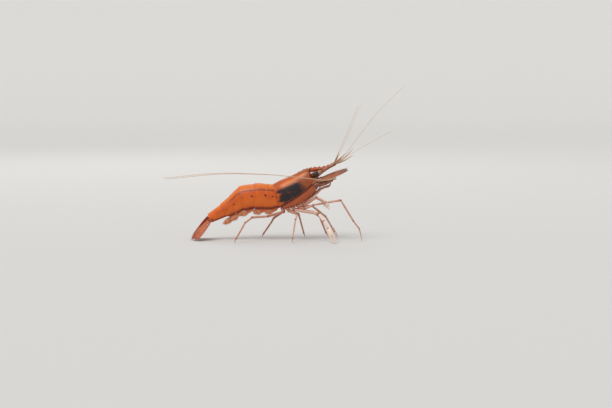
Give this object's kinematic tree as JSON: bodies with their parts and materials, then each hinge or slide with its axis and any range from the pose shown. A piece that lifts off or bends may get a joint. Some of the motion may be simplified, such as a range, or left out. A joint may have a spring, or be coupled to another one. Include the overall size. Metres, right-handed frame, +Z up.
{
  "type": "freshwater prawn",
  "caption": "Life-size still freshwater prawn in orange-brown shell, standing with its head raised, legs spread, tail fan down and antennae swept back.",
  "frame": {"origin": "middle of the bounding box's foot, on the floor between the legs", "axes": "+X forward, the way the head points; +Y to the animal's left; +Z up"},
  "size_m": [0.068, 0.0182, 0.0442],
  "materials": {
    "shell": "translucent orange-brown shell, wet gloss, dark spots along the flanks",
    "swimmeret": "thin translucent orange-pink leaves",
    "tail_fan": "translucent reddish-brown blades, darker at the ends",
    "limb": "pale pinkish-beige, slightly translucent",
    "feeler": "pale brown, slightly translucent",
    "eye": "black-brown, wet gloss"
  },
  "bodies": {
    "root": {"antenna_base_left": "feeler", "antenna_base_right": "feeler", "antenna_scale_left": "feeler", "antenna_scale_right": "feeler", "antenna_whip_left": "feeler", "antenna_whip_right": "feeler", "antennule_left": "feeler", "antennule_right": "feeler", "antennule_whip_inner_left": "feeler", "antennule_whip_inner_right": "feeler", "antennule_whip_outer_left": "feeler", "antennule_whip_outer_right": "feeler", "antennule_whip_short_left": "feeler", "antennule_whip_short_right": "feeler", "carapace": "shell", "eye_left": "eye", "eye_right": "eye", "eyestalk_left": "feeler", "eyestalk_right": "feeler", "leg_1_left": "limb", "leg_1_right": "limb", "leg_2_left": "limb", "leg_2_right": "limb", "leg_3_left": "limb", "leg_3_right": "limb", "leg_4_left": "limb", "leg_4_right": "limb", "leg_5_left": "limb", "leg_5_right": "limb", "maxilliped_left": "limb", "maxilliped_right": "limb", "pleonite_1": "shell", "pleonite_2": "shell", "pleonite_3": "shell", "pleonite_4": "shell", "pleonite_5": "shell", "pleonite_6": "shell", "pleopod_1_left": "swimmeret", "pleopod_1_right": "swimmeret", "pleopod_2_left": "swimmeret", "pleopod_2_right": "swimmeret", "pleopod_3_left": "swimmeret", "pleopod_3_right": "swimmeret", "pleopod_4_left": "swimmeret", "pleopod_4_right": "swimmeret", "pleopod_5_left": "swimmeret", "pleopod_5_right": "swimmeret", "telson": "tail_fan", "thorax_underside": "shell", "uropod_inner_left": "tail_fan", "uropod_inner_right": "tail_fan", "uropod_outer_left": "tail_fan", "uropod_outer_right": "tail_fan"}
  },
  "joints": []
}
